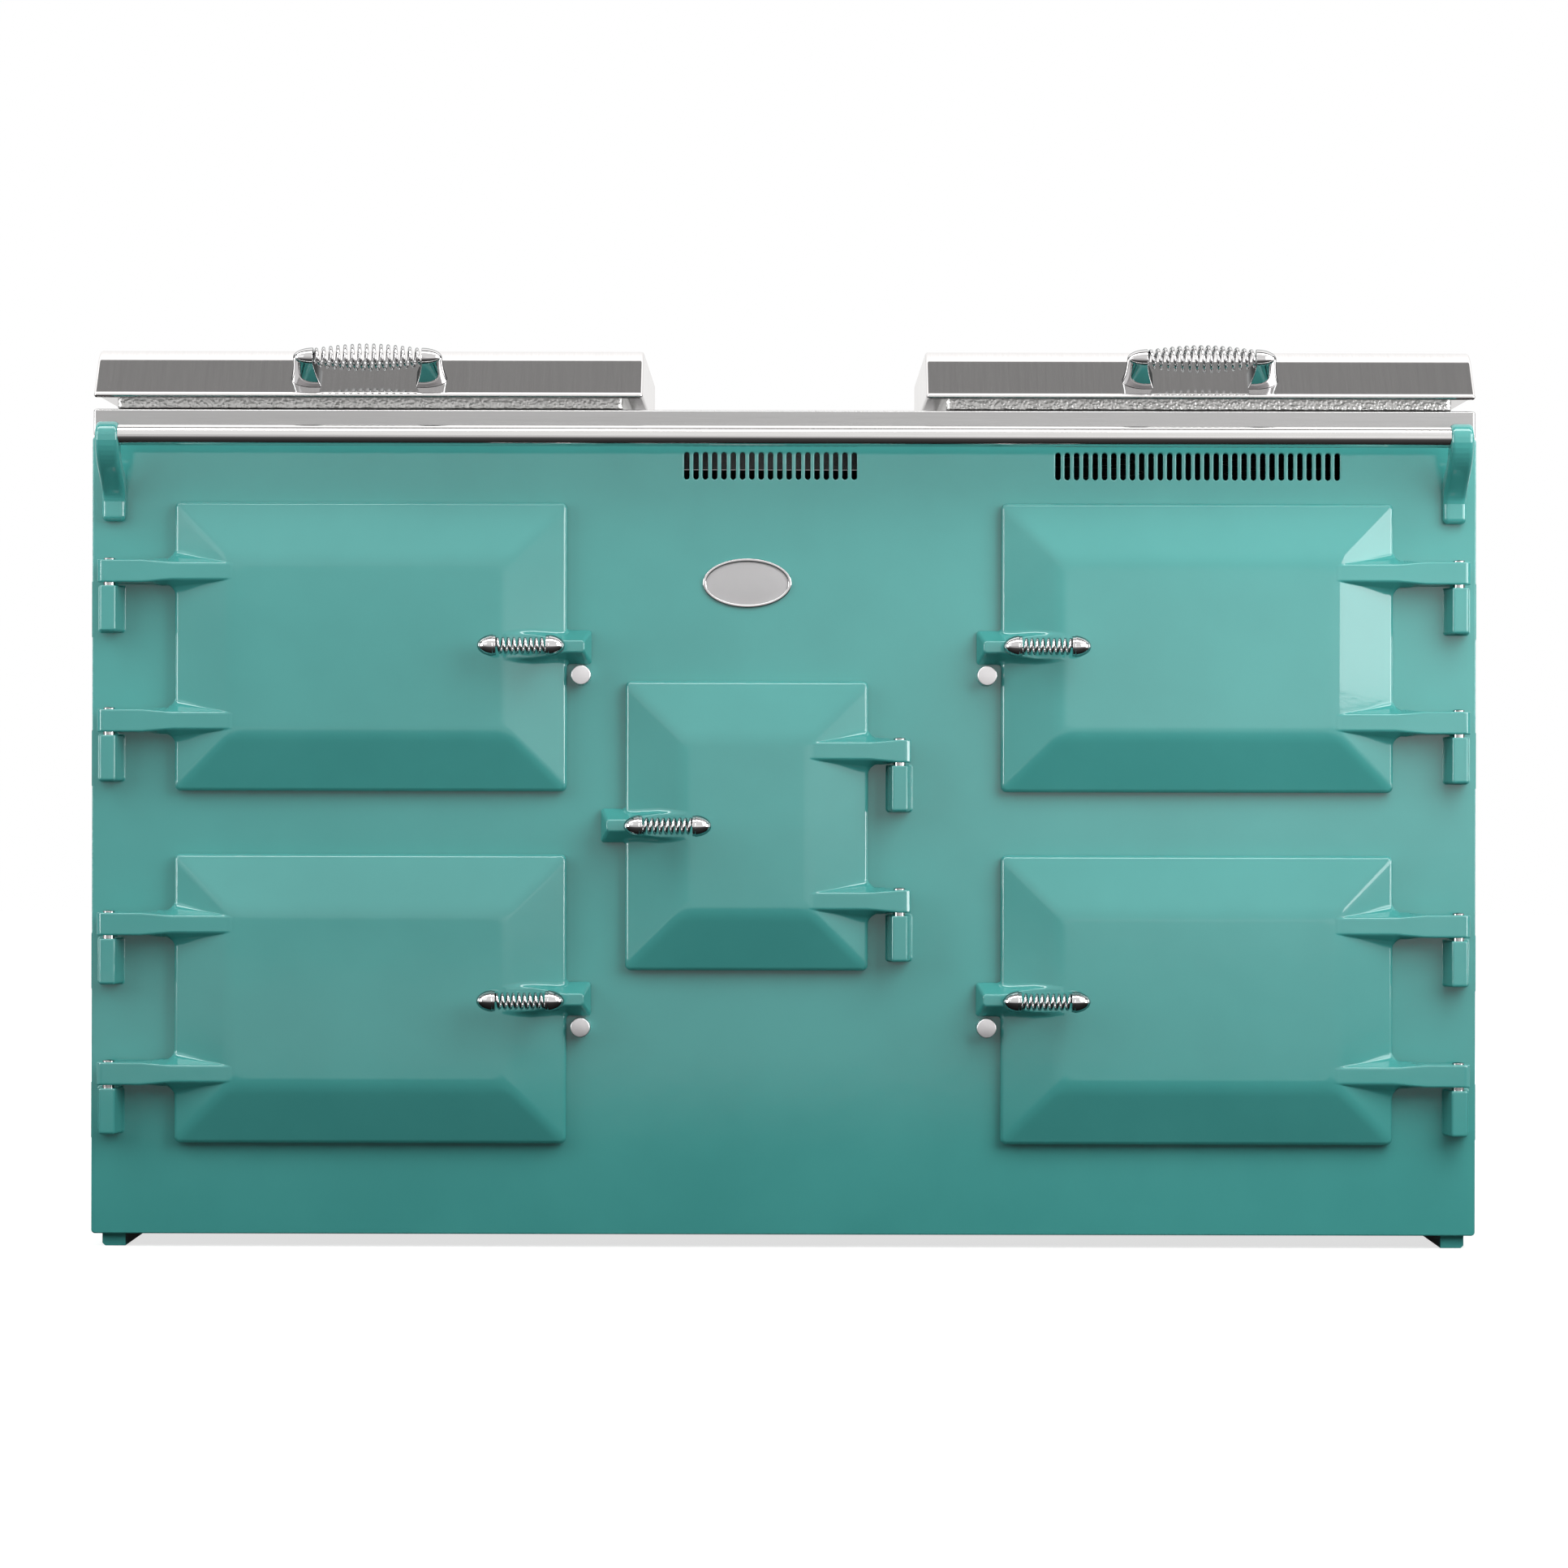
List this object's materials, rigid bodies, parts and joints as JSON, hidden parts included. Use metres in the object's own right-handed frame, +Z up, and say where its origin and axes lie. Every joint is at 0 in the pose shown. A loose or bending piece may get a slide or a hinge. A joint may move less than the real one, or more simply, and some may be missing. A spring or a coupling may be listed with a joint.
{
  "type": "range cooker",
  "caption": "Cast iron range cooker with a hand rail, bevelled oven doors on pin hinges, a middle door over the controls, and insulated lids with coil handles over the hob plates.",
  "frame": {"origin": "centre of the overall footprint, at floor level under the foot rails", "axes": "+X to the right of a person who faces the doors, +Y from the front to the back, +Z up"},
  "size_m": [1.497, 0.6808, 0.9761],
  "materials": {
    "enamel": "gloss vitreous enamel, teal",
    "brushed_steel": "fine brushed grain",
    "chrome": "polished",
    "cast_iron": "matt black, slightly rough",
    "black_glass": "polished black glass-ceramic",
    "dark_sheet": "satin dark grey paint",
    "black_plastic": "matt black"
  },
  "bodies": {
    "cooker": {"front_panel": "enamel", "side_panel_left": "enamel", "side_panel_right": "enamel", "back_panel": "dark_sheet", "base_frame": "enamel", "hob_top": "brushed_steel", "hot_plate": "cast_iron", "ceramic_hob": "black_glass", "oven_liner_upper_left": "cast_iron", "oven_liner_upper_right": "cast_iron", "oven_liner_lower_left": "cast_iron", "oven_liner_lower_right": "cast_iron", "control_panel": "dark_sheet", "hand_rail": "brushed_steel", "rail_bracket_left": "enamel", "rail_bracket_right": "enamel", "catch_stud_upper_left": "brushed_steel", "catch_stud_upper_right": "brushed_steel", "catch_stud_lower_left": "brushed_steel", "catch_stud_lower_right": "brushed_steel", "lid_bracket_left_outer": "brushed_steel", "lid_bracket_left_inner": "brushed_steel", "lid_bracket_right_outer": "brushed_steel", "lid_bracket_right_inner": "brushed_steel"},
    "door_upper_left": {"door_upper_left": "enamel", "hinge_pin_upper_left_top": "brushed_steel", "hinge_pin_upper_left_bottom": "brushed_steel", "handle_upper_left": "chrome"},
    "door_upper_right": {"door_upper_right": "enamel", "hinge_pin_upper_right_top": "brushed_steel", "hinge_pin_upper_right_bottom": "brushed_steel", "handle_upper_right": "chrome"},
    "door_lower_left": {"door_lower_left": "enamel", "hinge_pin_lower_left_top": "brushed_steel", "hinge_pin_lower_left_bottom": "brushed_steel", "handle_lower_left": "chrome"},
    "door_lower_right": {"door_lower_right": "enamel", "hinge_pin_lower_right_top": "brushed_steel", "hinge_pin_lower_right_bottom": "brushed_steel", "handle_lower_right": "chrome"},
    "door_control": {"door_control": "enamel", "hinge_pin_control_top": "brushed_steel", "hinge_pin_control_bottom": "brushed_steel", "handle_control": "chrome"},
    "lid_left": {"lid_left": "brushed_steel", "lid_handle_left": "chrome"},
    "lid_right": {"lid_right": "brushed_steel", "lid_handle_right": "chrome"},
    "rack_upper_left": {"oven_rack_upper_left": "chrome"},
    "rack_upper_right": {"oven_rack_upper_right": "chrome"},
    "rack_lower_left": {"oven_rack_lower_left": "chrome"},
    "rack_lower_right": {"oven_rack_lower_right": "chrome"},
    "knob_oven_upper_left": {"knob_oven_upper_left": "black_plastic"},
    "knob_oven_upper_right": {"knob_oven_upper_right": "black_plastic"},
    "knob_oven_lower_left": {"knob_oven_lower_left": "black_plastic"},
    "knob_oven_lower_right": {"knob_oven_lower_right": "black_plastic"},
    "knob_hot_plate": {"knob_hot_plate": "black_plastic"}
  },
  "joints": [
    {"name": "door_upper_left_hinge", "type": "hinge", "parent": "cooker", "child": "door_upper_left", "pos_m": [-0.727, -0.28163, 0.649], "axis": [0, 0, -1], "range_deg": [0, 120]},
    {"name": "door_upper_right_hinge", "type": "hinge", "parent": "cooker", "child": "door_upper_right", "pos_m": [0.727, -0.28163, 0.649], "axis": [0, 0, 1], "range_deg": [0, 120]},
    {"name": "door_lower_left_hinge", "type": "hinge", "parent": "cooker", "child": "door_lower_left", "pos_m": [-0.727, -0.28163, 0.269], "axis": [0, 0, -1], "range_deg": [0, 120]},
    {"name": "door_lower_right_hinge", "type": "hinge", "parent": "cooker", "child": "door_lower_right", "pos_m": [0.727, -0.28163, 0.269], "axis": [0, 0, 1], "range_deg": [0, 120]},
    {"name": "door_control_hinge", "type": "hinge", "parent": "cooker", "child": "door_control", "pos_m": [0.1247, -0.28163, 0.4563], "axis": [0, 0, 1], "range_deg": [0, 120]},
    {"name": "lid_left_hinge", "type": "hinge", "parent": "cooker", "child": "lid_left", "pos_m": [-0.4505, 0.28537, 0.935], "axis": [-1, 0, 0], "range_deg": [0, 85]},
    {"name": "lid_right_hinge", "type": "hinge", "parent": "cooker", "child": "lid_right", "pos_m": [0.4505, 0.28537, 0.935], "axis": [-1, 0, 0], "range_deg": [0, 85]},
    {"name": "rack_upper_left_slide", "type": "slide", "parent": "cooker", "child": "rack_upper_left", "axis": [0, -1, 0], "range_m": [0, 0.27]},
    {"name": "rack_upper_right_slide", "type": "slide", "parent": "cooker", "child": "rack_upper_right", "axis": [0, -1, 0], "range_m": [0, 0.27]},
    {"name": "rack_lower_left_slide", "type": "slide", "parent": "cooker", "child": "rack_lower_left", "axis": [0, -1, 0], "range_m": [0, 0.27]},
    {"name": "rack_lower_right_slide", "type": "slide", "parent": "cooker", "child": "rack_lower_right", "axis": [0, -1, 0], "range_m": [0, 0.27]},
    {"name": "knob_oven_upper_left_turn", "type": "hinge", "parent": "cooker", "child": "knob_oven_upper_left", "pos_m": [-0.086, -0.18163, 0.5323], "axis": [0, 1, 0], "range_deg": [0, 270]},
    {"name": "knob_oven_upper_right_turn", "type": "hinge", "parent": "cooker", "child": "knob_oven_upper_right", "pos_m": [0.006, -0.18163, 0.5323], "axis": [0, 1, 0], "range_deg": [0, 270]},
    {"name": "knob_oven_lower_left_turn", "type": "hinge", "parent": "cooker", "child": "knob_oven_lower_left", "pos_m": [-0.086, -0.18163, 0.4563], "axis": [0, 1, 0], "range_deg": [0, 270]},
    {"name": "knob_oven_lower_right_turn", "type": "hinge", "parent": "cooker", "child": "knob_oven_lower_right", "pos_m": [0.006, -0.18163, 0.4563], "axis": [0, 1, 0], "range_deg": [0, 270]},
    {"name": "knob_hot_plate_turn", "type": "hinge", "parent": "cooker", "child": "knob_hot_plate", "pos_m": [-0.04, -0.18163, 0.3803], "axis": [0, 1, 0], "range_deg": [0, 270]}
  ],
  "couplings": [
    {"joint": "rack_upper_left_slide", "follows": "door_upper_left_hinge", "m_per_rad": 0.1289},
    {"joint": "rack_upper_right_slide", "follows": "door_upper_right_hinge", "m_per_rad": 0.1289},
    {"joint": "rack_lower_left_slide", "follows": "door_lower_left_hinge", "m_per_rad": 0.1289},
    {"joint": "rack_lower_right_slide", "follows": "door_lower_right_hinge", "m_per_rad": 0.1289}
  ]
}
